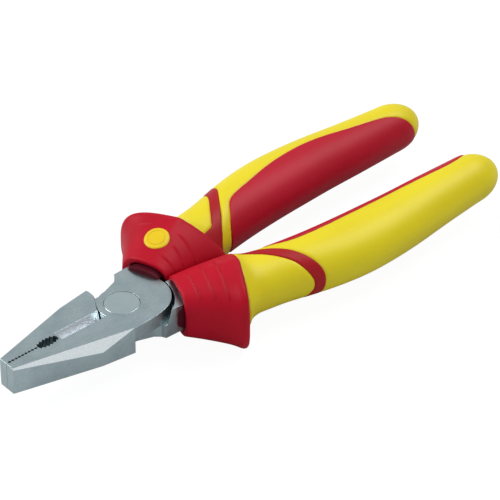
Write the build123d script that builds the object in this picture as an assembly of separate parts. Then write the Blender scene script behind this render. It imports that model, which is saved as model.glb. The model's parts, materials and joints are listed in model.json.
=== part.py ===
from build123d import *
import math
import os

# Insulated combination pliers: two forged steel levers crossed in a lap joint on one
# rivet, each with a moulded two-colour grip. All dimensions are in millimetres.
#
# The model is drawn with the pivot axis on +Z through the origin, the jaws towards -X
# and the handles towards +X. The upper lever has its jaw at -Y and its handle at +Y.
# The tool is symmetric under half a turn about X, so every piece of the lower lever is
# its upper twin turned over. At the end all pieces are moved together so that the
# origin is the centre of the bounding box's bottom face.

# ---------------------------------------------------------------- overall sizes
OVERALL_LENGTH = 180.0
NOSE_X = -43.2                      # flat end of the jaws
HANDLE_END_X = NOSE_X + OVERALL_LENGTH
HALF_THICKNESS = 4.85               # half of the forged head
LAP_CLEARANCE = 0.05                # each plate stops this far from the mid-plane
JAW_CLEARANCE = 0.06                # each jaw face stops this far from the centre line

# ---------------------------------------------------------------- lap joint
JOINT_RADIUS = 7.6                  # round of each plate, seen against the other jaw
SEAT_RADIUS = 7.9                   # hollow in the other jaw that clears it
HEEL_RADIUS = 15.85                 # round of each plate towards the handles
# hollow in the other lever that clears it, a leaning cone: centre x and radius
HOLLOW_AT_LAP = (3.2, 13.0)
HOLLOW_AT_FACE = (2.4, 14.0)
RIVET_HEAD_RADIUS = 5.5
RIVET_HEAD_HEIGHT = 2.0
RIVET_SHANK_RADIUS = 4.0
RUNNING_CLEARANCE = 0.05            # upper lever turns on the rivet with this all round
RIVET_CHAMFER = 0.16

# ---------------------------------------------------------------- jaws
JAW_NOSE_WIDTH = 3.15
JAW_CORNER = (-15.5, -10.3)         # where the outer wall bends
JAW_HEEL = (-4.5, -11.75)
BEVEL_START = (-43.3, -2.95)        # top edge of the ground bevel, nose end
BEVEL_SLOPE = 0.23                  # how far the bevel leans out per unit of depth
EDGE_BREAK = 0.25

SERRATION_PITCH = 1.2
SERRATION_DEPTH = 0.42
SERRATION_START_X = -42.6
SERRATION_COUNT = 9

PIPE_GRIP_START_X = -31.8
PIPE_GRIP_END_X = -24.2
PIPE_GRIP_DEPTH = 1.95
PIPE_TOOTH_HEIGHT = 0.7
PIPE_TOOTH_COUNT = 6

CUTTER_START_X = -24.0
CUTTER_OPENING = 1.85               # half-width of the cutter notch at the faces

# ---------------------------------------------------------------- tang and handle
TANG_HALF_HEIGHT = 3.2
# inner then outer side of the full-thickness steel that enters the grip
SHOULDER_INNER = [(17.4, 0.6), (19.6, 2.3)]     # lower half, close to the centre line
SHOULDER_SIDES = [(19.0, 4.2), (27.0, 7.0), (27.0, 15.9), (16.5, 13.3)]
# stations along one handle: x, centre y, half-width in y, half-height in z
HANDLE_STATIONS = [
    (26.0, 11.4, 8.6, 7.4),
    (36.0, 13.0, 9.6, 8.2),
    (45.0, 14.7, 9.8, 8.6),
    (56.0, 17.0, 10.3, 8.7),
    (68.0, 18.9, 11.0, 8.7),
    (82.0, 19.7, 10.9, 8.7),
    (96.0, 19.6, 10.2, 8.4),
    (110.0, 18.9, 9.2, 8.0),
    (125.0, 18.2, 8.2, 7.5),
]
END_CAP_LENGTH = HANDLE_END_X - 125.0
END_CAP_STEPS = (0.35, 0.62, 0.82, 0.94, 0.99)
PAD_THICKNESS = 1.6
BAND_THICKNESS = 1.2

# tang half-width at the same kind of stations: x, centre y, half-width
TANG_STATIONS = [
    (26.0, 11.4, 4.9),
    (40.0, 13.7, 4.2),
    (60.0, 17.6, 3.7),
    (85.0, 19.6, 3.2),
    (112.0, 18.8, 2.6),
]

# guard sections from the front ring to the rim: centre x, y, turn in degrees,
# half-width, half-height, then how full the outer and the inner corners are
# (2 is an ellipse, more is squarer, less is leaner)
GUARD_SECTIONS = [
    (15.3, 7.0, 19.5, 8.2, 8.0, 2.9, 2.4),
    (20.3, 9.2, 24.0, 10.7, 9.5, 3.0, 2.0),
    (25.8, 11.6, 28.0, 13.9, 11.1, 3.1, 1.65),
    (30.8, 13.9, 30.5, 16.5, 12.0, 3.1, 1.45),
    (32.5, 14.8, 31.0, 17.0, 12.2, 3.1, 1.4),
    (33.8, 15.5, 31.0, 16.4, 11.7, 3.1, 1.4),
]
MOUTH_FULLNESS = 3.0
GUARD_RECESS = (6.9, 6.8, 5.0)      # half-width, half-height and depth of the mouth
GUARD_OUTLINE_POINTS = 16
GUARD_SIDE_CLEARANCE = 0.25         # flat inner side stops this far from the centre line
MOUTH_WALL = 1.0                    # least wall left between the mouth and that flat
MOUTH_GAP = 0.4                     # between the sleeve and the mouth's wall
SLEEVE_REACH = 2.1                  # the inner sleeve stands this far out of the mouth
SLEEVE_SIZE = (6.5, 6.4, 9.0)       # half-width, half-height and length
SLEEVE_OPEN_SIDE = 7.0              # below the plate it starts beyond this y at the front
SLEEVE_CLOSED_FROM = 2.6            # and goes all the way round from this depth
SLEEVE_UNDERSIDE_BACK = 0.8         # below the forging it stays this far inside the mouth
SLEEVE_CLEARANCE = 0.3              # from the other lever's plate as it turns
BADGE_CENTRE = (23.2, 11.6)
BADGE_RADIUS = 3.95
BADGE_THICKNESS = 0.9


def prism(points, z_low, z_high):
    """Upright prism over a closed polygon."""
    outline = make_face(Polyline([*points, points[0]]))
    return Pos(0, 0, z_low) * extrude(outline, z_high - z_low)


def disc(radius, z_low, z_high, centre=(0, 0)):
    """Upright cylinder between two heights."""
    height = z_high - z_low
    return Pos(*centre, z_low + height / 2) * Cylinder(radius, height)


def turned_over(shape):
    """Half a turn about X: makes the lower lever's twin of an upper piece."""
    return Rotation(180, 0, 0) * shape


# ================================================================ forged lever
def jaw_blank():
    """Full-thickness jaw with its two straight outer walls and broken outer edges."""
    points = [
        (NOSE_X, -JAW_CLEARANCE),
        (NOSE_X, -JAW_NOSE_WIDTH),
        JAW_CORNER,
        JAW_HEEL,
        (-4.15, -10.4),
        (-4.25, -7.9),
        (-5.2, -6.0),
        (-5.2, -JAW_CLEARANCE),
    ]
    blank = prism(points, -HALF_THICKNESS, HALF_THICKNESS)
    bottom_outer = [
        edge for edge in blank.edges().filter_by(Plane.XY)
        if edge.center().Z < 0 and edge.center().Y < -2.9 and edge.center().X < -4.4
    ]
    return chamfer(bottom_outer, EDGE_BREAK)


def bevel_cut():
    """Wedge outside the long ground bevel on the jaw's upper outer edge."""
    start = Vector(*BEVEL_START, HALF_THICKNESS)
    along = (Vector(*JAW_HEEL, HALF_THICKNESS) - start).normalized()
    outward = along.cross(Vector(0, 0, 1))
    wedge_plane = Plane(origin=start - along * 5, x_dir=outward, z_dir=along)
    depth = 2 * HALF_THICKNESS + 1
    up = wedge_plane.y_dir.Z
    wedge = [
        (-BEVEL_SLOPE, up),
        (4, up),
        (4, -depth * up),
        (BEVEL_SLOPE * depth, -depth * up),
    ]
    face = wedge_plane * make_face(Polyline([*wedge, wedge[0]]))
    return extrude(face, 60, dir=along)


def serration_cut():
    """Row of fine V grooves across the flat gripping face."""
    points = [(SERRATION_START_X - 0.01, 0.3)]
    for tooth in range(SERRATION_COUNT):
        left = SERRATION_START_X + tooth * SERRATION_PITCH
        points += [
            (left, -JAW_CLEARANCE),
            (left + SERRATION_PITCH / 2, -JAW_CLEARANCE - SERRATION_DEPTH),
        ]
    end = SERRATION_START_X + SERRATION_COUNT * SERRATION_PITCH
    points += [(end, -JAW_CLEARANCE), (end + 0.01, 0.3)]
    return prism(points, -HALF_THICKNESS - 1, HALF_THICKNESS + 1)


def pipe_grip_cut():
    """Hollow for round stock, with coarse teeth along its curve."""
    span = PIPE_GRIP_END_X - PIPE_GRIP_START_X
    steps = 2 * PIPE_TOOTH_COUNT
    points = [(PIPE_GRIP_START_X, 0.3)]
    for step in range(1, steps):
        x = PIPE_GRIP_START_X + span * step / steps
        depth = PIPE_GRIP_DEPTH * math.sin(math.pi * (step + 1.2) / (steps + 2.4)) ** 0.5
        if step % 2 == 0:
            depth -= PIPE_TOOTH_HEIGHT
        points.append((x, -depth))
    points.append((PIPE_GRIP_END_X, 0.3))
    return prism(points, -HALF_THICKNESS - 1, HALF_THICKNESS + 1)


def cutter_cut():
    """Two facets that bring the jaw to a cutting edge at mid-thickness."""
    length = -JOINT_RADIUS - CUTTER_START_X
    reach = HALF_THICKNESS + 1
    opening = CUTTER_OPENING * reach / HALF_THICKNESS
    facets = []
    for side in (1, -1):
        points = [(-JAW_CLEARANCE, 0), (0.5, 0), (0.5, side * reach), (-opening, side * reach)]
        section = Plane.YZ * make_face(Polyline([*points, points[0]]))
        facets.append(Pos(CUTTER_START_X, 0, 0) * extrude(section, length, dir=(1, 0, 0)))
    return facets[0] + facets[1]


def plate():
    """Upper half of the lap joint: round at the jaw end, stop step and heel round."""
    front = Spline(JAW_HEEL, (2.0, -11.6), (7.0, -10.9), (10.5, -9.55), (13.4, -7.1),
                   (15.0, -4.6), (HEEL_RADIUS, -1.0))
    back = Polyline([
        (HEEL_RADIUS, -1.0), (15.75, 2.0), *SHOULDER_SIDES, (12.0, 12.4), (6.9, 12.2),
        (6.2, 10.8), (4.5, 9.3), (0.0, 7.75), (-4.3, 6.2), (-5.2, 5.0),
        (-7.0, -JAW_CLEARANCE), (-7.0, -9.0), JAW_HEEL,
    ])
    outline = make_face([front, back])
    body = extrude(outline, HALF_THICKNESS - LAP_CLEARANCE)
    body += disc(JOINT_RADIUS, 0, HALF_THICKNESS - LAP_CLEARANCE)
    return Pos(0, 0, LAP_CLEARANCE) * body


def shoulder():
    """Lower half of the lever behind the joint, hollowed round the other plate."""
    points = [(15.0, 0.6), *SHOULDER_INNER, *SHOULDER_SIDES[1:], (12.0, 12.4), (8.0, 12.25)]
    body = prism(points, -HALF_THICKNESS, LAP_CLEARANCE)
    return body - hollow()


def hollow():
    """Leaning cone below the lap, wider at the face, that clears the other plate."""
    (lap_x, lap_radius), (face_x, face_radius) = HOLLOW_AT_LAP, HOLLOW_AT_FACE
    at_lap = Pos(lap_x, 0, LAP_CLEARANCE) * Circle(lap_radius).face()
    at_face = Pos(face_x, 0, -HALF_THICKNESS - LAP_CLEARANCE) * Circle(face_radius).face()
    return loft([at_face, at_lap], ruled=True)


def tang():
    """Flat bar that runs back inside the grip."""
    outer = [(x, y + half) for x, y, half in TANG_STATIONS]
    inner = [(x, y - half) for x, y, half in TANG_STATIONS]
    outline = make_face([
        Spline(*outer),
        ThreePointArc(outer[-1], (outer[-1][0] + 2.6, TANG_STATIONS[-1][1]), inner[-1]),
        Spline(*reversed(inner)),
        Line(inner[0], outer[0]),
    ])
    return Pos(0, 0, -TANG_HALF_HEIGHT) * extrude(outline, 2 * TANG_HALF_HEIGHT)


def lever(rivet_gap):
    """One forging: jaw, lap plate, shoulder and tang, bored for the rivet."""
    jaw = jaw_blank() - disc(SEAT_RADIUS, -HALF_THICKNESS - 1, LAP_CLEARANCE)
    jaw = jaw - bevel_cut() - serration_cut() - pipe_grip_cut() - cutter_cut()
    body = jaw + plate() + shoulder() + tang()
    body -= disc(RIVET_SHANK_RADIUS + rivet_gap, -1, HALF_THICKNESS + 1)
    seat_floor = HALF_THICKNESS - RIVET_HEAD_HEIGHT - rivet_gap
    body -= disc(RIVET_HEAD_RADIUS + rivet_gap, seat_floor, HALF_THICKNESS + 1)
    return body


def rivet():
    """Flush rivet with a head let into each plate."""
    head = disc(RIVET_HEAD_RADIUS, HALF_THICKNESS - RIVET_HEAD_HEIGHT, HALF_THICKNESS)
    rim = head.edges().filter_by(GeomType.CIRCLE).sort_by(Axis.Z)[-1]
    head = chamfer(rim, RIVET_CHAMFER)
    shank = disc(RIVET_SHANK_RADIUS, -HALF_THICKNESS + 0.5, HALF_THICKNESS - 0.5)
    return head + shank + turned_over(head)


# ================================================================ moulded grip
def heading(turn):
    """Unit vector in plan, turned outwards from +X."""
    return Vector(math.cos(math.radians(turn)), math.sin(math.radians(turn)), 0)


def section_plane(x, y, turn=0.0):
    """Upright plane across a handle, square to its heading in plan."""
    return Plane(origin=(x, y, 0), x_dir=heading(turn + 90), z_dir=heading(turn))


def section(x, y, half_width, half_height, turn=0.0):
    """Elliptical section across a handle."""
    return section_plane(x, y, turn) * Ellipse(half_width, half_height).face()


def full_section(x, y, turn, half_width, half_height, outer_fullness, inner_fullness):
    """Section across a guard: an oval with its own fullness on each side."""
    points = []
    for step in range(GUARD_OUTLINE_POINTS):
        angle = 2 * math.pi * step / GUARD_OUTLINE_POINTS
        across, up = math.cos(angle), math.sin(angle)
        fullness = outer_fullness if across > 0 else inner_fullness
        radius = (abs(across) ** fullness + abs(up) ** fullness) ** (-1 / fullness)
        points.append((half_width * radius * across, half_height * radius * up))
    return section_plane(x, y, turn) * make_face(Spline(*points, periodic=True))


def handle_form(inset=0.0):
    """Outer form of the handle, or the same form drawn in by an inset."""
    sections = [
        section(x, y, width - inset, height - inset)
        for x, y, width, height in HANDLE_STATIONS
    ]
    x_last, y_last, width, height = HANDLE_STATIONS[-1]
    length = END_CAP_LENGTH - inset
    for step in END_CAP_STEPS:
        shrink = math.sqrt(1 - step * step)
        sections.append(section(x_last + length * step, y_last,
                                (width - inset) * shrink, (height - inset) * shrink))
    return loft(sections)


def band_zone():
    """Plan of the red arc that crosses the handle behind the guard."""
    rear = Spline((57.2, 32.0), (57.1, 24.5), (53.6, 19.4), (49.1, 13.6), (45.6, 8.5), (44.2, 1.0))
    front = Spline((41.2, 1.0), (41.2, 8.2), (45.4, 12.4), (48.6, 18.0), (51.9, 22.6), (53.2, 32.0))
    outline = make_face([rear, Line((44.2, 1.0), (41.2, 1.0)), front, Line((53.2, 32.0), (57.2, 32.0))])
    return Pos(0, 0, -20) * extrude(outline, 40)


def pad_zone():
    """Zone of the soft pad on the inner side; it reaches further over the upper side."""
    top = Spline((49.0, 2.0), (50.8, 9.3), (53.5, 13.8), (57.0, 16.4), (72.7, 20.6), (84.0, 21.6),
                 (103.0, 19.5), (121.0, 16.8), (128.0, 14.0), (131.0, 2.0))
    bottom = Spline((49.0, 2.0), (51.2, 7.4), (53.6, 10.8), (57.0, 12.4), (72.7, 13.8), (84.0, 14.2),
                    (103.0, 14.4), (121.0, 14.4), (128.0, 12.0), (131.0, 2.0))
    closing = Line((131.0, 2.0), (49.0, 2.0))
    upper = Pos(0, 0, 9) * make_face([top, closing])
    lower = Pos(0, 0, -9) * make_face([bottom, closing])
    return loft([lower, upper], ruled=True)


def guard_form():
    """Flared collar between the steel and the handle, flat where the two guards meet."""
    body = loft([full_section(*station) for station in GUARD_SECTIONS])
    return body & outer_side(GUARD_SIDE_CLEARANCE)


def outer_side(distance):
    """Everything further out than a distance from the centre line."""
    return Pos(30, 30 + distance, 0) * Box(100, 60, 60)


def mouth_block(half_width, half_height, start, end):
    """Oval block along the mouth's axis, between two depths behind the lip."""
    x, y, turn = GUARD_SECTIONS[0][:3]
    face = full_section(x, y, turn, half_width, half_height, MOUTH_FULLNESS, MOUTH_FULLNESS)
    return Pos(*(heading(turn) * start)) * extrude(face, end - start, dir=heading(turn))


def guard_mouth():
    """Recess in the front of the guard, round the tang."""
    width, height, depth = GUARD_RECESS
    return mouth_block(width, height, -6, depth) & outer_side(GUARD_SIDE_CLEARANCE + MOUTH_WALL)


def tang_sleeve(steel):
    """Inner insulating sleeve on the tang; its dark face shows in the mouth."""
    width, height, length = SLEEVE_SIZE
    body = mouth_block(width, height, -SLEEVE_REACH, length)
    body &= outer_side(GUARD_SIDE_CLEARANCE + MOUTH_WALL + MOUTH_GAP)
    body -= mouth_block(width + 2, height + 2, -SLEEVE_REACH - 1, SLEEVE_CLOSED_FROM) & (
        Pos(30, SLEEVE_OPEN_SIDE - 10, HALF_THICKNESS - 20) * Box(60, 20, 40))
    body -= mouth_block(width + 2, height + 2, -SLEEVE_REACH - 1, SLEEVE_UNDERSIDE_BACK) & (
        Pos(20, 10, -HALF_THICKNESS - 10) * Box(80, 80, 20))
    reach = HALF_THICKNESS + SLEEVE_CLEARANCE
    swept = disc(HEEL_RADIUS + SLEEVE_CLEARANCE, -reach, LAP_CLEARANCE + SLEEVE_CLEARANCE)
    return body - swept - steel


def badge():
    """Plain round inlay on the upper side of the guard."""
    column = disc(BADGE_RADIUS, 0, 20, BADGE_CENTRE)
    return column & (guard_form() - Pos(0, 0, -BADGE_THICKNESS) * guard_form())


def grip(steel):
    """The moulded pieces of one handle, fitted round its own steel."""
    form = handle_form()
    pad = (form - handle_form(PAD_THICKNESS)) & pad_zone()
    band = (form - handle_form(BAND_THICKNESS)) & band_zone()
    core = form - steel - pad - band
    inlay = badge()
    sleeve = tang_sleeve(steel) - form
    guard = guard_form() - guard_mouth() - form - steel - inlay - sleeve
    band = band - guard_form()
    return {
        "handle_core": core,
        "tang_sleeve": sleeve,
        "guard": guard,
        "badge": inlay,
        "arc_band": band,
        "grip_pad": pad,
    }


# ================================================================ assembly
def build_parts():
    """Every piece in the drawing frame, keyed by node name."""
    upper = lever(RUNNING_CLEARANCE)
    lower = turned_over(lever(0.0))
    parts = {"upper_lever": upper, "lower_lever": lower, "pivot_rivet": rivet()}
    for name, piece in grip(upper).items():
        parts["upper_" + name] = piece
        parts["lower_" + name] = turned_over(piece)
    return parts


def export_all(parts):
    """Move the origin to the bottom centre of the whole and write each piece."""
    box = Compound(children=[Compound(piece.solids()) for piece in parts.values()]).bounding_box()
    offset = Pos(-(box.min.X + box.max.X) / 2, -(box.min.Y + box.max.Y) / 2, -box.min.Z)
    os.makedirs("parts", exist_ok=True)
    for name, piece in parts.items():
        moved = offset * piece
        export_step(moved, f"parts/{name}.step")
        print(f"{name}: {len(moved.solids())} solid, {moved.volume:.0f} mm3")
    pivot = offset.position
    print(f"pivot at {pivot.X:.3f}, {pivot.Y:.3f}; mid-plane at z {pivot.Z:.3f}")
    print(f"size {box.size.X:.2f} x {box.size.Y:.2f} x {box.size.Z:.2f}")


export_all(build_parts())
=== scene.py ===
# %% [markdown]
# # Insulated combination pliers
#
# Two forged levers turn on one flush rivet, and each wears a two-colour moulded grip.
# The forgings are hard-surface work, with flat ground faces and exact clearances, so
# they stay as the CAD model made them and only get a finish. The grips are the part a
# hand touches: soft forms, an inlaid pad, a thin arc and a flared guard with raised
# ribs. Those are rebuilt here as dense meshes, one piece at a time.

# %% Load the frame
import json
import math

import bpy
import numpy as np
from mathutils import Matrix, Vector


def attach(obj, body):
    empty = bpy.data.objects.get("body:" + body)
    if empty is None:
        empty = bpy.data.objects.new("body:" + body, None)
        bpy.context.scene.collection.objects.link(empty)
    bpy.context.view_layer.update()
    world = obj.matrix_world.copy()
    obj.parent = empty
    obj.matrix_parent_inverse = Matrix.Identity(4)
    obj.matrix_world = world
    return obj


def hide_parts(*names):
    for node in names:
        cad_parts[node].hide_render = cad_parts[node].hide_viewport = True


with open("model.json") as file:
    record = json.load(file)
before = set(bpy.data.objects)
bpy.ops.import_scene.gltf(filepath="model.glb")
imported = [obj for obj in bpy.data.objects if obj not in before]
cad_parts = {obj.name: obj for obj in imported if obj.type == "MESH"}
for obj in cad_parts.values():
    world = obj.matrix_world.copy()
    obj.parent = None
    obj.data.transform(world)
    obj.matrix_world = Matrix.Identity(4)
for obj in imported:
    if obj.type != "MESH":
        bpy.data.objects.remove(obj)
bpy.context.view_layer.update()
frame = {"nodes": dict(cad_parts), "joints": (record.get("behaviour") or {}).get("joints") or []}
PIVOT = Vector(frame["joints"][0]["pos_m"])
print("pivot", tuple(round(v, 5) for v in PIVOT), "nodes", len(frame["nodes"]))

# %% [markdown]
# ## Camera
#
# A long lens from far away keeps the handles nearly parallel. It is aimed at a point
# between the grips, and everything is measured from the rivet, in millimetres.

# %% Camera
AZIMUTH, ELEVATION = math.radians(-40.893), math.radians(37.664)
AIM_MM = Vector((49.765, -0.782, 0.0))
DISTANCE_MM = 980.06
LENS_MM, SENSOR_MM = 230.4, 36

back = Vector((math.sin(AZIMUTH) * math.cos(ELEVATION),
               -math.cos(AZIMUTH) * math.cos(ELEVATION), math.sin(ELEVATION)))
right = Vector((math.cos(AZIMUTH), math.sin(AZIMUTH), 0))
view = Matrix((right, back.cross(right), back)).transposed().to_4x4()
view.translation = PIVOT + (AIM_MM + back * DISTANCE_MM) / 1000
camera = bpy.data.objects.new("camera", bpy.data.cameras.new("camera"))
camera.data.lens, camera.data.sensor_width = LENS_MM, SENSOR_MM
camera.data.clip_end = 20
camera.matrix_world = view
bpy.context.scene.collection.objects.link(camera)
bpy.context.scene.camera = camera

# %% [markdown]
# ## Shader sums as Python
#
# Finishes are built from noise and masks. Writing `1 - mask * 0.3` is easier to read
# than wiring nodes, so one small class wraps a socket and adds the Math node behind
# each operator. Every other node goes through `Finish.node`.


# %% Socket sums and finishes
class Value:
    """One number socket of a finish; an operator on it adds a Math node."""

    def __init__(self, finish, socket):
        self.finish, self.socket = finish, socket

    def math(self, operation, *numbers):
        return self.finish.node("ShaderNodeMath", {"operation": operation},
                                dict(enumerate(numbers)))

    def __add__(self, other):
        return self.math("ADD", self, other)

    def __sub__(self, other):
        return self.math("SUBTRACT", self, other)

    def __rsub__(self, other):
        return self.math("SUBTRACT", other, self)

    def __mul__(self, other):
        return self.math("MULTIPLY", self, other)

    __radd__, __rmul__ = __add__, __mul__

    def step(self, low, high):
        """0 below low, 1 above high, smooth between."""
        return self.finish.node("ShaderNodeMapRange", {"interpolation_type": "SMOOTHSTEP"},
                                {"Value": self, "From Min": low, "From Max": high})


class Finish:
    """A material that starts as one Principled shader."""

    def __init__(self, name, **constants):
        self.material = bpy.data.materials.new(name)
        self.material.use_nodes = True
        self.tree = self.material.node_tree
        self.shader = self.tree.nodes["Principled BSDF"]
        for socket, number in constants.items():
            self.shader.inputs[socket.replace("_", " ")].default_value = number

    def node(self, kind, settings=None, inputs=None, out=0):
        """Add a node: settings first, then the values or links of its sockets."""
        node = self.tree.nodes.new(kind)
        for name, setting in (settings or {}).items():
            setattr(node, name, setting)
        for key, given in (inputs or {}).items():
            socket = node.inputs[key]
            if isinstance(given, Value):
                self.tree.links.new(given.socket, socket)
            else:
                socket.default_value = given
        return Value(self, node.outputs[out])

    def feed(self, **inputs):
        """Link worked-out sockets to the shader."""
        for name, given in inputs.items():
            self.tree.links.new(given.socket, self.shader.inputs[name.replace("_", " ")])
        return self.material

    def place(self, stretch=(1, 1, 1)):
        """Object coordinates in millimetres, stretched along each axis."""
        raw = self.node("ShaderNodeTexCoord", out="Object")
        return self.node("ShaderNodeVectorMath", {"operation": "MULTIPLY"},
                         {0: raw, 1: tuple(1000 * s for s in stretch)})

    def noise(self, place, scale, detail=3.0, roughness=0.5):
        """Soft noise; scale is waves per millimetre."""
        return self.node("ShaderNodeTexNoise", {},
                         {"Vector": place, "Scale": scale, "Detail": detail,
                          "Roughness": roughness})

    def blend(self, factor, low, high):
        """Mix two colours by a factor."""
        return self.node("ShaderNodeMix", {"data_type": "RGBA"},
                         {0: factor, 6: low, 7: high}, out=2)

    def bump(self, height, depth_mm, strength=1.0, normal=None):
        """Surface relief of a height field from 0 to 1."""
        inputs = {"Height": height, "Distance": depth_mm / 1000, "Strength": strength}
        if normal is not None:
            inputs["Normal"] = normal
        return self.node("ShaderNodeBump", {}, inputs)


def srgb(red, green, blue):
    """Linear colour of an 8-bit screen colour."""
    parts = [v / 255 for v in (red, green, blue)]
    return tuple(v / 12.92 if v <= 0.04045 else ((v + 0.055) / 1.055) ** 2.4
                 for v in parts) + (1.0,)


# %% [markdown]
# ## Ground and plated steel
#
# The head is ground on a fine belt and plated, which leaves a grey satin sheen with
# short fine lines and faint cloudy patches. The jaw's bevel and the cutter's facets
# are picked out by the way they face and painted brighter: a painted highlight.
# Real edges are never knife sharp: a Bevel node rounds the normals at each edge by
# 0.14 mm, and the same rounding tints the edges: lighter on the forging, where
# handling has polished them, with a painted edge highlight on top, and darker on
# the rivet, as painted shade in its seam. Nothing here depends on the other
# pieces, so the finish is the same with the jaws open.


# %% Steel finishes
BEVEL_FACE = (-0.2155, -0.950, 0.2243)       # which way the upper lever's facets face
CUTTER_FACES = [(0.0, -0.945, 0.327), (0.0, -0.945, -0.327)]
EDGE_ROUNDING = 0.00014                      # metres


def ground_steel(name, light, dark, line_stretch, edge_wear_and_painted_light_tone, painted_highlight_faces=()):
    """Plated steel; painted_highlight_faces are the directions that get a painted highlight, and
    their tones.
    """
    finish = Finish(name, Metallic=1.0)
    place = finish.place()
    lines = finish.noise(finish.place(line_stretch), 1.0, 4.0, 0.65)
    clouds = finish.noise(place, 0.16, 3.0)
    specks = finish.noise(place, 3.2, 2.0, 0.7)
    mottle = finish.noise(place, 1.1, 3.0, 0.7)
    rounded = finish.node("ShaderNodeBevel", {"samples": 6}, {"Radius": EDGE_ROUNDING})
    true = finish.node("ShaderNodeNewGeometry", out="Normal")
    facing = finish.node("ShaderNodeVectorMath", {"operation": "DOT_PRODUCT"},
                         {0: rounded, 1: true}, out="Value")
    edge = (1 - facing).step(0.01, 0.25)
    tone = (clouds * 0.3 + lines * 0.4 + mottle * 0.3).step(0.3, 0.7)
    colour = finish.blend(tone, dark, light)
    own = finish.node("ShaderNodeTexCoord", out="Normal")
    # painted highlight: faces turned these ways are painted brighter, flecked by specks
    for face, highlight_tone in painted_highlight_faces:
        toward = finish.node("ShaderNodeVectorMath", {"operation": "DOT_PRODUCT"},
                             {0: own, 1: face}, out="Value")
        painted_highlight = toward.step(0.985, 0.995) * (0.7 + specks.step(0.35, 0.65) * 0.3)
        colour = finish.blend(painted_highlight, colour, highlight_tone)
    # edge tint: rubbed wear with a painted edge highlight on the forging, painted shade in the
    # seam on the rivet
    colour = finish.blend(edge * 0.2, colour, edge_wear_and_painted_light_tone)
    roughness = 0.22 + lines * 0.10 + clouds * 0.08 - edge * 0.04
    relief = finish.bump(lines * 0.7 + specks * 0.3, 0.012, 0.55, rounded)
    return finish.feed(Base_Color=colour, Roughness=roughness, Normal=relief)


def own_and_turned(face, tone):
    """A direction for both levers, which are half a turn about X apart."""
    x, y, z = face
    return [(face, tone), ((x, -y, -z), tone)]


# directions and tones of the painted highlight on the bevel and the cutter facets
PAINTED_HIGHLIGHT_FACES = own_and_turned(BEVEL_FACE, srgb(250, 255, 255))
for facet in CUTTER_FACES:
    PAINTED_HIGHLIGHT_FACES += own_and_turned(facet, srgb(226, 229, 232))
FORGED_STEEL = ground_steel("ground_forging", srgb(180, 194, 196), srgb(152, 169, 173),
                            (0.35, 6.0, 6.0), srgb(214, 220, 222), PAINTED_HIGHLIGHT_FACES)
# the rivet's edges darken: painted shade in the seam round its head
RIVET_STEEL = ground_steel("ground_rivet", srgb(184, 199, 200), srgb(172, 188, 190),
                           (5.0, 0.5, 5.0), srgb(96, 104, 108))

# %% [markdown]
# ## Moulded plastic and soft pad
#
# The tool that moulds the grips is spark-eroded, so the skin has a very fine even
# grain. The yellow carrier is a little glossier than the red shots. Colour in a
# moulding drifts slowly along the flow, and handling leaves a few faint scuffs.


# %% Moulded finishes
def moulded(name, colour, drift, roughness, grain_mm, grain_depth, scuff=0.3, sheen=0.35):
    """Plastic of one colour that drifts a little; sheen is the strength of its gloss."""
    finish = Finish(name, Metallic=0.0, IOR=1.47, Specular_IOR_Level=sheen)
    place = finish.place()
    flow = finish.noise(finish.place((0.03, 0.09, 0.09)), 1.0, 2.0)
    grain = finish.noise(place, 1 / grain_mm, 2.0, 0.6)
    mottle = finish.noise(place, 0.9, 3.0, 0.6)
    rub = finish.noise(finish.place((0.5, 2.6, 2.6)), 1.0, 5.0, 0.7).step(0.60, 0.80)
    tone = (flow * 0.7 + mottle * 0.3).step(0.25, 0.75)
    skin = finish.blend(tone, drift, colour)
    skin = finish.blend(rub * (0.12 * scuff), skin, srgb(235, 228, 215))
    rough = roughness + grain * 0.08 + mottle * 0.06 - rub * (0.10 * scuff)
    relief = finish.bump(grain, grain_depth, 0.5)
    return finish.feed(Base_Color=skin, Roughness=rough, Normal=relief)


YELLOW = moulded("yellow_moulding", srgb(214, 197, 12), srgb(206, 188, 9), 0.38, 0.16, 0.010)
RED = moulded("red_moulding", srgb(172, 3, 32), srgb(160, 2, 26), 0.42, 0.18, 0.014, 0.3, 0.16)
PAD_RED = moulded("soft_red_pad", srgb(174, 4, 36), srgb(162, 3, 30), 0.42, 0.24, 0.020,
                  0.6, 0.25)
ARC_RED = moulded("arc_red", srgb(158, 8, 18), srgb(148, 6, 14), 0.40, 0.18, 0.014, 0.3, 0.25)
# a darkened copy of the red: painted shade on the sleeve deep in the guard's mouth
SLEEVE_PAINTED_SHADE = moulded("dark_sleeve", srgb(82, 8, 26), srgb(68, 6, 20), 0.5, 0.2, 0.012,
                      0.1, 0.15)
BADGE_YELLOW = moulded("badge_yellow", srgb(216, 184, 8), srgb(208, 175, 6), 0.36, 0.16, 0.008)

# %% Dress the pieces that stay
for name, finish in {
    "upper_lever": FORGED_STEEL, "lower_lever": FORGED_STEEL, "pivot_rivet": RIVET_STEEL,
    "upper_tang_sleeve": SLEEVE_PAINTED_SHADE, "lower_tang_sleeve": SLEEVE_PAINTED_SHADE,
}.items():
    slots = frame["nodes"][name].material_slots
    for slot in slots:
        slot.material = finish
    print(name, "finish", finish.name)

# %% [markdown]
# ## From rings to solids
#
# Every moulded piece is a stack of closed rings. A ring is one loop of points, a
# stack of rings makes a skin, and the ends are either closed with a fan or joined to
# each other. That always gives a closed solid, with no stray faces. Points are in
# millimetres from the rivet, drawn for the upper lever; the lower lever's twin is the
# same piece turned half a turn about X, which keeps the faces' direction.


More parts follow.
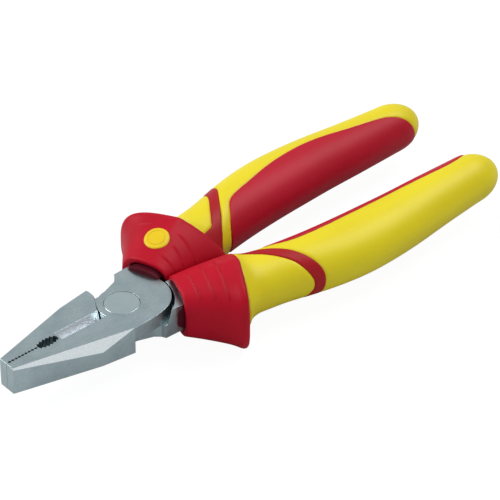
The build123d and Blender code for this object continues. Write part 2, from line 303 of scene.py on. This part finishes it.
# %% Curves through tables
def spline(xs, ys):
    """Natural cubic curve through a table, as a function of arrays."""
    xs, ys = np.array(xs, float), np.array(ys, float)
    count, gap = len(xs), np.diff(xs)
    matrix, jump = np.eye(count), np.zeros(ys.shape)
    for i in range(1, count - 1):
        matrix[i, i - 1:i + 2] = gap[i - 1], 2 * (gap[i - 1] + gap[i]), gap[i]
        jump[i] = 6 * ((ys[i + 1] - ys[i]) / gap[i] - (ys[i] - ys[i - 1]) / gap[i - 1])
    bend = np.linalg.solve(matrix, jump)

    def at(x):
        x = np.asarray(x, float)
        i = np.clip(np.searchsorted(xs, x) - 1, 0, count - 2)
        left, rest, width = x - xs[i], xs[i + 1] - x, gap[i]
        if ys.ndim > 1:
            left, rest, width = left[..., None], rest[..., None], width[..., None]
        return ((bend[i] * rest ** 3 + bend[i + 1] * left ** 3) / (6 * width)
                + (ys[i] / width - bend[i] * width / 6) * rest
                + (ys[i + 1] / width - bend[i + 1] * width / 6) * left)

    return at


def smooth(t):
    """0 to 1 with soft ends."""
    t = np.clip(t, 0, 1)
    return t * t * (3 - 2 * t)


# %% Solids from rings
SHARP_EDGE = math.radians(40)


def ring_faces(rings, around, closed, base):
    """Quads between neighbouring rings."""
    faces = []
    for ring in range(rings if closed else rings - 1):
        a, b = base + ring * around, base + (ring + 1) % rings * around
        faces += [(a + k, a + (k + 1) % around, b + (k + 1) % around, b + k)
                  for k in range(around)]
    return faces


def solid(name, side, stack, closed, material, replaced):
    """A piece from a stack of rings, closed on itself or with a fan on each end."""
    rings, around = stack.shape[:2]
    points = [stack.reshape(-1, 3)]
    faces = ring_faces(rings, around, closed, 0)
    if not closed:
        last = (rings - 1) * around
        for tip, (ring, start, turn) in enumerate([(stack[-1], last, 1), (stack[0], 0, -1)]):
            points.append(ring.mean(axis=0, keepdims=True))
            middle = rings * around + tip
            loop = [(start + k, start + (k + 1) % around, middle) for k in range(around)]
            faces += [face[::turn] for face in loop]
    millimetres = np.concatenate(points)
    if side == "lower":
        millimetres = millimetres * (1, -1, -1)
    mesh = bpy.data.meshes.new(f"{side}_{name}")
    mesh.from_pydata((millimetres / 1000 + np.array(PIVOT)).tolist(), [], faces)
    mesh.validate()
    mesh.materials.append(material)
    mesh.shade_smooth()
    mesh.set_sharp_from_angle(angle=SHARP_EDGE)
    piece = bpy.data.objects.new(f"{side}_{name}_skin", mesh)
    bpy.context.scene.collection.objects.link(piece)
    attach(piece, f"{side}_half")
    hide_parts(f"{side}_{replaced}")
    print(piece.name, len(mesh.polygons), "faces")


# %% [markdown]
# ## The form of the handle
#
# Its section is an oval whose centre line bows outwards. A table gives the centre,
# half-width and half-height at each station, and the end closes as a rounded cap.
# A point of the skin is named by how far along it lies and by the angle round the
# section, which starts on the outer side and goes up and over.

# %% Handle form
HANDLE = np.array([
    # x, centre y, half-width, half-height
    (14, 9.0, 7.5, 6.6), (26, 11.4, 8.8, 7.8), (38, 13.35, 10.0, 8.5), (45, 14.6, 9.8, 8.6),
    (56, 17.0, 10.3, 8.7), (68, 18.9, 11.0, 8.7), (75, 19.5, 11.1, 8.7),
    (85, 19.75, 10.8, 8.6), (95, 19.6, 10.2, 8.4), (105, 19.05, 9.5, 8.1),
    (115, 18.6, 8.8, 7.8), (125, 18.25, 8.2, 7.5),
])
CAP_START, CAP_LENGTH, CAP_ARC = 125.0, 11.2, 15.6
RIM_CENTRE, RIM_TURN = (33.55, 15.35), math.radians(31)     # the guard's rear face
# how much the handle swells to meet it, by the angle from the outer side
FLARE = [(0, 3.4), (45, 3.1), (90, 2.3), (120, 1.4), (145, 0.8), (180, 1.0), (215, 0.8),
         (240, 1.4), (270, 2.3), (315, 3.1), (360, 3.4)]
FLARE_LENGTH = 8.0                      # behind the rim
FLARE_LAP, FLARE_FADE = 0.6, 1.8        # it goes on inside the rim, then dies away
handle_table = spline(HANDLE[:, 0], HANDLE[:, 1:])


def all_round(table):
    """A table from 0 to 360 degrees as a curve with no seam."""
    before = [(angle - 360, x) for angle, x in table[-4:-1]]
    after = [(angle + 360, x) for angle, x in table[1:4]]
    return spline(*zip(*(before + table + after)))


def degrees_of(angle):
    """Degrees from 0 to 360 of an angle in radians."""
    return np.degrees(angle) % 360


flare = all_round(FLARE)


def along(x):
    """Distance along the skin of the station at x, which bends over the cap."""
    over = np.arcsin(np.clip((x - CAP_START) / CAP_LENGTH, 0, 1)) * 2 / np.pi
    return np.minimum(x, CAP_START) + CAP_ARC * over


def skin(u, angle):
    """Point of the handle's skin."""
    turn = np.clip((u - CAP_START) / CAP_ARC, 0, 1) * np.pi / 2
    x = np.minimum(u, CAP_START)
    y, width, height = np.moveaxis(handle_table(x), -1, 0)
    shrink = np.cos(turn)
    across, up = width * shrink * np.cos(angle), height * shrink * np.sin(angle)
    behind = ((x - RIM_CENTRE[0]) * math.cos(RIM_TURN)
              + (y + across - RIM_CENTRE[1]) * math.sin(RIM_TURN))
    fade = np.clip(1 - np.maximum(behind, 0) / FLARE_LENGTH, 0, 1) ** 3
    swell = flare(degrees_of(angle)) * fade * smooth(
        1 + (behind + FLARE_LAP) / FLARE_FADE)
    out = np.hypot(np.cos(angle) / width, np.sin(angle) / height)
    return np.stack([x + CAP_LENGTH * np.sin(turn),
                     y + across + swell * np.cos(angle) / width / out,
                     up + swell * np.sin(angle) / height / out], -1)


def lifted(u, angle, lift):
    """Point above the skin, along its normal."""
    near = np.minimum(u, CAP_START + CAP_ARC - 0.2)
    forward = skin(near + 0.02, angle) - skin(near - 0.02, angle)
    round_it = skin(near, angle + 0.002) - skin(near, angle - 0.002)
    normal = np.cross(round_it, forward)
    normal /= np.linalg.norm(normal, axis=-1, keepdims=True)
    return skin(u, angle) + normal * np.asarray(lift)[..., None]


# %% [markdown]
# ## Where the colours meet
#
# The pad lies on the inner side and laps further over the top than underneath. The
# arc goes all round the handle behind the guard, and on the inner side it runs in
# under the guard's rim. Their outlines are smooth lines through tables.

# %% Colour outlines
# the pad, as station and angle
PAD_UPPER_EDGE = [
    (47.9, 200), (47.9, 180), (48.6, 155), (50, 137), (51.8, 122), (53.1, 111.5),
    (54.4, 105), (56.2, 100.5), (58.6, 98), (61.8, 96.3), (66.6, 93.5), (72.8, 88.5),
    (78.8, 84.2), (84.8, 80.8), (90.2, 79.3), (95.2, 80), (100, 82.5), (104.2, 86.3),
    (109, 91), (113.5, 95), (118.2, 99.5), (121.8, 105), (125, 115.5), (127.5, 131),
    (129.1, 150), (129.9, 171), (130.2, 190), (130.2, 200),
]
PAD_LOWER_EDGE = [
    (47.9, 200), (49, 222), (51.8, 237), (55.2, 244), (60, 245), (66, 243), (75, 240),
    (88.8, 239), (104, 241), (114, 245), (120, 246), (125, 241), (128.6, 226),
    (130.2, 200),
]
# the arc, as angle and station
ARC_FRONT = [
    (0, 53.5), (20, 53.1), (40, 52.3), (60, 51.1), (77, 49), (96, 46.2), (108, 44.6),
    (116, 43.5), (120, 43.1), (122.5, 42.5), (124.2, 41.3), (125.6, 39.2), (127.5, 37.6),
    (131, 37), (140, 36.7), (160, 36.6), (200, 36.6), (225, 37), (234, 38), (240, 39.6),
    (247, 41.6), (254, 43), (268, 45.2), (280, 47), (292, 48.8), (302, 50.1), (316, 51.3),
    (330, 52.3), (344, 53.1), (360, 53.5),
]
ARC_REAR = [
    (0, 57.1), (30, 57), (47, 56.7), (61, 55.9), (76, 53.9), (90, 51.9), (106, 49.7),
    (121, 47.8), (135, 46.1), (150, 44.8), (165, 43.7), (180, 43.3), (200, 43.6),
    (220, 44.6), (235, 46), (245, 47.3), (259, 49.5), (273, 51.7), (287, 53.4),
    (301, 54.9), (313, 55.9), (327, 56.7), (341, 57.1), (360, 57.1),
]
MM_PER_DEGREE = 0.17          # across the skin, on average


def outline(table, count):
    """Evenly spaced station and angle pairs on a smooth line through a table."""
    table = np.array(table, float)
    step = np.hypot(np.diff(table[:, 0]), np.diff(table[:, 1]) * MM_PER_DEGREE)
    run = np.concatenate([[0], np.cumsum(step)])
    points = spline(run, table)(np.linspace(0, run[-1], count))
    return along(points[:, 0]), np.radians(points[:, 1])


arc_front, arc_rear = all_round(ARC_FRONT), all_round(ARC_REAR)


def distance(points, line):
    """Distance of each point to the nearest point of a dense line."""
    flat = points.reshape(-1, 3)
    found = np.concatenate([
        np.sqrt(((part[:, None] - line[None]) ** 2).sum(-1).min(1))
        for part in np.array_split(flat, max(1, len(flat) // 4000))
    ])
    return found.reshape(points.shape[:-1])


def inside(u, angle, corner_u, corner_angle):
    """True within a closed outline of station and angle."""
    hit = np.zeros(u.shape, bool)
    for k in range(len(corner_u)):
        u0, u1, a0, a1 = corner_u[k - 1], corner_u[k], corner_angle[k - 1], corner_angle[k]
        crosses = (a0 > angle) != (a1 > angle)
        if a0 != a1:
            hit ^= crosses & (u < (u1 - u0) * (angle - a0) / (a1 - a0) + u0)
    return hit


# %% [markdown]
# ## Soft pad and arc
#
# Both are inlays. Each is a thin closed strip that follows the skin, with a rounded
# shoulder at its edge, so a fine dark line shows where two colours meet. Rows run
# from one edge to the other, and the points crowd towards the edges where the
# rounding is.

# %% Inlays
PAD_PROUD, ARC_PROUD = 0.16, 0.05       # above the carrier's skin
SHOULDER, EDGE_DROP = 0.55, 0.32        # width and depth of the rounded edge
INLAY_DEPTH = 1.15
EDGE_POINTS, LINE_POINTS = 190, 700     # along a pad edge, in the mesh and to measure by
PAD_COLUMNS, ARC_COLUMNS = 41, 17       # across each strip


def shoulder(gap, proud):
    """Height of an inlay at a distance from its edge."""
    t = np.clip(gap / SHOULDER, 0, 1)
    return -EDGE_DROP + (EDGE_DROP + proud) * np.sqrt(1 - (1 - t) ** 2)


def crowded(count):
    """0 to 1, closer together near both ends."""
    return 0.5 - 0.5 * np.cos(np.linspace(0, np.pi, count))


def inlay_rows(u0, a0, u1, a1, line, proud, columns):
    """Closed cross-sections between two edges, over and back underneath."""
    share = crowded(columns)
    u = u0[:, None] + (u1 - u0)[:, None] * share
    angle = a0[:, None] + (a1 - a0)[:, None] * share
    gap = distance(skin(u, angle), line)
    over = lifted(u, angle, shoulder(gap, proud))
    under = lifted(u, angle, np.full(u.shape, -INLAY_DEPTH))
    return np.concatenate([over, under[:, ::-1]], axis=1)


pad_upper = outline(PAD_UPPER_EDGE, EDGE_POINTS)
pad_lower = outline(PAD_LOWER_EDGE, EDGE_POINTS)
pad_line = np.concatenate([skin(*outline(edge, LINE_POINTS))
                           for edge in (PAD_UPPER_EDGE, PAD_LOWER_EDGE)])
pad_rows = inlay_rows(*pad_upper, *pad_lower, pad_line, PAD_PROUD, PAD_COLUMNS)[1:-1]

arc_angle = np.concatenate([np.arange(0, 116, 2.0), np.arange(116, 134, 0.5),
                            np.arange(134, 230, 2.0), np.arange(230, 250, 0.8),
                            np.arange(250, 360, 2.0)])
arc_edges = [along(edge(arc_angle)) for edge in (arc_front, arc_rear)]
arc_angle = np.radians(arc_angle)
fine_angle = np.arange(0, 360, 0.25)
arc_line = np.concatenate([skin(along(edge(fine_angle)), np.radians(fine_angle))
                           for edge in (arc_front, arc_rear)])
arc_rows = inlay_rows(arc_edges[0], arc_angle, arc_edges[1], arc_angle, arc_line,
                      ARC_PROUD, ARC_COLUMNS)
print("pad rows", pad_rows.shape, "arc rows", arc_rows.shape)

# %% [markdown]
# ## Yellow carrier
#
# The carrier is the whole handle, which swells where it meets the guard. Where an
# inlay lies it drops away beneath it, with a soft lip.


# %% Carrier skin
LIP_DROP, LIP_WIDTH = 0.26, 0.55        # soft lip beside an inlay
BED_DROP, BED_WIDTH = 0.62, 0.8         # how much further it drops beneath one


def sunk(gap, within):
    """How far the carrier drops near and under an inlay."""
    lip = -LIP_DROP * smooth(1 - gap / LIP_WIDTH)
    bed = -LIP_DROP - BED_DROP * smooth(gap / BED_WIDTH)
    return np.where(within, bed, lip)


core_u = np.concatenate([np.arange(27, 39, 0.4),
                         np.arange(39, CAP_START + CAP_ARC - 0.1, 0.6)])
core_u, core_angle = np.meshgrid(core_u, np.radians(np.arange(0, 360, 2.4)), indexing="ij")
core_skin = skin(core_u, core_angle)
corner_u = np.concatenate([pad_upper[0], pad_lower[0][::-1]])
corner_angle = np.concatenate([pad_upper[1], pad_lower[1][::-1]])
in_pad = inside(core_u, core_angle, corner_u, corner_angle)
degrees = degrees_of(core_angle)
in_arc = (core_u > along(arc_front(degrees))) & (core_u < along(arc_rear(degrees)))
drop = np.minimum(sunk(distance(core_skin, pad_line), in_pad),
                  sunk(distance(core_skin, arc_line), in_arc))
core_rings = lifted(core_u, core_angle, drop)

# %% [markdown]
# ## Guard
#
# The guard flares from a snug mouth round the steel to a wide oval rim, turning
# outwards as it goes. Its sections are full on the outer side and lean on the inner
# side, where the two guards meet flat at the centre line. Three thin ribs run across
# the underside and three short ones over the inner side of the top, and a faint one
# stands behind the badge.

# %% Guard form
GUARD = np.array([
    # x, y, turn, half-width, half-height, fullness outside, fullness inside
    (15.3, 7.0, 19.5, 8.8, 8.3, 3.0, 2.4), (20.3, 9.2, 24.0, 11.1, 9.7, 2.7, 2.0),
    (25.8, 11.6, 28.0, 13.7, 11.3, 2.6, 1.65), (30.8, 13.9, 30.5, 16.6, 12.2, 2.9, 1.45),
    (32.5, 14.8, 31.0, 17.2, 12.3, 3.15, 1.4), (33.8, 15.5, 31.0, 16.7, 11.8, 3.15, 1.4),
])
guard_run = np.concatenate([[0], np.cumsum(np.hypot(*np.diff(GUARD[:, :2], axis=0).T))])
guard_table = spline(guard_run, GUARD)
RIM_RUN = 19.3
MEETING_GAP, MEETING_SOFTNESS = 0.27, 0.35


def reach_of(across, up, fullness):
    """How far an oval reaches in a direction; fullness 2 is an ellipse, more is squarer."""
    return (np.abs(across) ** fullness + np.abs(up) ** fullness) ** (-1 / fullness)


def oval(run, angle, grow=0.0, scale=1.0):
    """Ring of the guard at a run along it, grown in millimetres or scaled."""
    x, y, turn, width, height, outside, within = np.moveaxis(
        guard_table(np.asarray(run) + 0 * angle), -1, 0)
    across, up = np.cos(angle), np.sin(angle)
    fullness = within + (outside - within) * smooth(across * 2 + 0.5)
    reach = reach_of(across, up, fullness)
    across = (width + grow) * reach * across * scale
    turn = np.radians(turn)
    return np.stack([x - across * np.sin(turn), y + across * np.cos(turn),
                     (height + grow) * reach * up * scale], -1)


def held_off(points):
    """Keep a guard on its own side of the centre line, with a soft corner."""
    points = points.copy()
    over = points[..., 1] - MEETING_GAP
    points[..., 1] = MEETING_GAP + (over + np.sqrt(over ** 2 + MEETING_SOFTNESS ** 2)) / 2
    return points


# %% Ribs
RIBS = [
    # from angle, to angle, run at each, strength
    (246, 318, 3.9, 5.0, 1.0), (246, 320, 8.2, 9.6, 1.0), (246, 322, 12.4, 14.1, 1.0),
    (103, 145, 4.3, 2.9, 1.0), (103, 147, 9.6, 6.0, 1.0), (104, 158, 13.6, 9.6, 1.0),
    (54, 76, 14.4, 14.4, 0.5),
]
RIB_HEIGHT, RIB_WIDTH = 0.36, 0.27
RIB_FADE = 6                            # degrees over which each end dies away
BADGE_AT = (23.2, 11.6)
BADGE_CLEAR, BADGE_FADE = 5.0, 1.2      # no rib this near it, then a soft start


def ribs(run, angle):
    """Raised arcs over the underside and the inner side of the top."""
    degrees = degrees_of(angle)
    lift = np.zeros(np.broadcast(run, angle).shape)
    for start, end, start_run, end_run, strength in RIBS:
        middle = start_run + (end_run - start_run) * (degrees - start) / (end - start)
        ends = smooth((degrees - start) / RIB_FADE) * smooth((end - degrees) / RIB_FADE)
        lift = lift + np.exp(-((run - middle) / RIB_WIDTH) ** 2) * ends * strength
    place = oval(run, angle)
    from_badge = np.hypot(place[..., 0] - BADGE_AT[0], place[..., 1] - BADGE_AT[1])
    bare = np.where(place[..., 2] > 0, smooth((from_badge - BADGE_CLEAR) / BADGE_FADE), 1)
    return RIB_HEIGHT * lift * bare


# %% Guard rings
MOUTH_WIDTH, MOUTH_HEIGHT, MOUTH_FULLNESS, MOUTH_DEPTH = 6.9, 6.8, 3.0, 5.0
guard_angle = np.radians(np.arange(0, 360, 2.0))


def mouth(depth, grow=0.0, scale=1.0):
    """Ring of the mouth's wall at a depth behind the lip."""
    x, y, turn = GUARD[0, :3]
    turn = math.radians(turn)
    across, up = np.cos(guard_angle), np.sin(guard_angle)
    reach = reach_of(across, up, MOUTH_FULLNESS)
    across = (MOUTH_WIDTH + grow) * reach * across * scale
    return np.stack([x - across * math.sin(turn) + depth * math.cos(turn),
                     y + across * math.cos(turn) + depth * math.sin(turn),
                     (MOUTH_HEIGHT + grow) * reach * up * scale], -1)


runs = np.concatenate([np.arange(0.6, 2.3, 0.5), np.arange(2.3, 15.2, 0.1),
                       np.arange(15.4, RIM_RUN - 0.1, 0.45), [RIM_RUN]])
outer = [oval(run, guard_angle, ribs(run, guard_angle)) for run in runs]
lip = [mouth(MOUTH_DEPTH, scale=0.6), mouth(MOUTH_DEPTH), mouth(0.6), mouth(0.2, 0.10),
       mouth(0.02, 0.35), oval(0.0, guard_angle, -0.45), oval(0.04, guard_angle, -0.2),
       oval(0.25, guard_angle, -0.03)]
rim = [oval(RIM_RUN + 0.35, guard_angle, -0.10), oval(RIM_RUN + 0.65, guard_angle, -0.35),
       oval(RIM_RUN + 0.8, guard_angle, -0.8), oval(RIM_RUN + 0.8, guard_angle, -1.6),
       oval(RIM_RUN + 0.8, guard_angle, scale=0.75),
       oval(RIM_RUN - 1.5, guard_angle, scale=0.5)]
guard_rings = held_off(np.array(lip + outer + rim))
print("guard rings", guard_rings.shape)


# %% [markdown]
# ## Badge
#
# A plain round inlay on the upper side of the guard, slightly proud, with one shallow
# turned groove. Each ring of it has to sit on the guard's curved top, so the guard's
# own run and angle are solved for at every point of the disc.

# %% Badge rings
BADGE_PROFILE = [(0.02, 0.30), (0.9, 0.30), (1.8, 0.30), (2.4, 0.29), (2.52, 0.16),
                 (2.72, 0.16), (2.84, 0.29), (3.35, 0.29), (3.68, 0.25), (3.87, 0.13),
                 (3.95, -0.05), (3.95, -0.55), (2.0, -0.55), (0.02, -0.55)]
NEAR_BADGE, SOLVE_STEPS = (9.0, 1.4), 12    # first guess of run and angle, and rounds


def guard_top(x, y):
    """Point of the guard's upper surface over each place in plan, and its normal."""
    run, angle = np.full(x.shape, NEAR_BADGE[0]), np.full(x.shape, NEAR_BADGE[1])
    for _ in range(SOLVE_STEPS):
        here = oval(run, angle)
        by_run = (oval(run + 0.01, angle) - here) / 0.01
        by_angle = (oval(run, angle + 0.001) - here) / 0.001
        gx, gy = x - here[..., 0], y - here[..., 1]
        det = by_run[..., 0] * by_angle[..., 1] - by_run[..., 1] * by_angle[..., 0]
        run = run + (gx * by_angle[..., 1] - gy * by_angle[..., 0]) / det
        angle = angle + (gy * by_run[..., 0] - gx * by_run[..., 1]) / det
    normal = np.cross(by_angle, by_run)
    return oval(run, angle), normal / np.linalg.norm(normal, axis=-1, keepdims=True)


badge_angle = np.radians(np.arange(0, 360, 5.0))
radius = np.array([row[0] for row in BADGE_PROFILE])[:, None]
lift = np.array([row[1] for row in BADGE_PROFILE])[:, None, None]
badge_seat, badge_normal = guard_top(BADGE_AT[0] + radius * np.sin(badge_angle),
                                     BADGE_AT[1] + radius * np.cos(badge_angle))
badge_rings = badge_seat + badge_normal * lift
print("badge top", badge_rings[..., 2].max().round(2))

# %% Make both grips
for side in ("upper", "lower"):
    solid("carrier", side, core_rings, False, YELLOW, "handle_core")
    solid("pad", side, pad_rows, False, PAD_RED, "grip_pad")
    solid("arc", side, arc_rows[::-1], True, ARC_RED, "arc_band")
    solid("guard", side, guard_rings, True, RED, "guard")
    solid("badge", side, badge_rings, False, BADGE_YELLOW, "badge")

# %% [markdown]
# ## Floor and light
#
# The tool lies on a pale sheet in a white room. A strong softbox behind it on the
# left and one overhead on the right do most of the work. A faint one behind on the
# right and a weak one in front open the shadows, and an even grey-white world fills
# in. Seen by the camera the sheet is close to white but keeps a soft shadow.


# %% Stage
SHEET, SHEET_DROP = 6.0, 0.0002         # metres: half the sheet's side, and how low it lies
SHEET_GLOW, GLOW_SHARE = 1.12, 0.85     # light that only the camera sees on the sheet


def stage_finish():
    """Pale sheet that looks white to the camera and still takes a shadow."""
    finish = Finish("pale_sheet", Roughness=0.9)
    grain = finish.noise(finish.place(), 0.02, 2.0)
    tint = finish.blend(grain, srgb(190, 192, 194), srgb(196, 198, 199))
    finish.feed(Base_Color=tint)
    rays = finish.tree.nodes.new("ShaderNodeLightPath")
    white = finish.tree.nodes.new("ShaderNodeEmission")
    white.inputs["Color"].default_value = (1, 1, 1, 1)
    white.inputs["Strength"].default_value = SHEET_GLOW
    mix = finish.tree.nodes.new("ShaderNodeMixShader")
    seen = Value(finish, rays.outputs["Is Camera Ray"]) * GLOW_SHARE
    finish.tree.links.new(seen.socket, mix.inputs[0])
    finish.tree.links.new(finish.shader.outputs[0], mix.inputs[1])
    finish.tree.links.new(white.outputs[0], mix.inputs[2])
    finish.tree.links.new(mix.outputs[0],
                          finish.tree.nodes["Material Output"].inputs["Surface"])
    return finish.material


corners = [(-1, -1), (1, -1), (1, 1), (-1, 1)]
mesh = bpy.data.meshes.new("sheet")
mesh.from_pydata([(SHEET * x, SHEET * y, -SHEET_DROP) for x, y in corners],
                 [], [(0, 1, 2, 3)])
mesh.materials.append(stage_finish())
floor = bpy.data.objects.new("floor", mesh)
bpy.context.scene.collection.objects.link(floor)

ROOM_COLOUR, ROOM_LIGHT = (0.93, 0.96, 1.0, 1), 0.45
world = bpy.data.worlds.new("room")
world.use_nodes = True
air = world.node_tree.nodes["Background"]
air.inputs["Color"].default_value = ROOM_COLOUR
air.inputs["Strength"].default_value = ROOM_LIGHT
bpy.context.scene.world = world
bpy.context.scene.view_settings.view_transform = "Standard"


def softbox(name, place, size, power):
    """Square area lamp that looks at the tool."""
    lamp = bpy.data.lights.new(name, "AREA")
    lamp.size, lamp.energy = size, power
    box = bpy.data.objects.new(name, lamp)
    at = Vector(place)
    box.matrix_world = (Matrix.Translation(at)
                        @ (-at).to_track_quat("-Z", "Y").to_matrix().to_4x4())
    bpy.context.scene.collection.objects.link(box)


softbox("rear_key", (-0.75, 0.95, 0.95), 0.7, 17.8)
softbox("overhead", (0.75, -0.05, 1.15), 0.7, 10.0)
softbox("rear_right", (0.70, 0.80, 0.80), 0.9, 0.7)
softbox("front_fill", (-0.55, -1.10, 0.50), 0.9, 3.0)
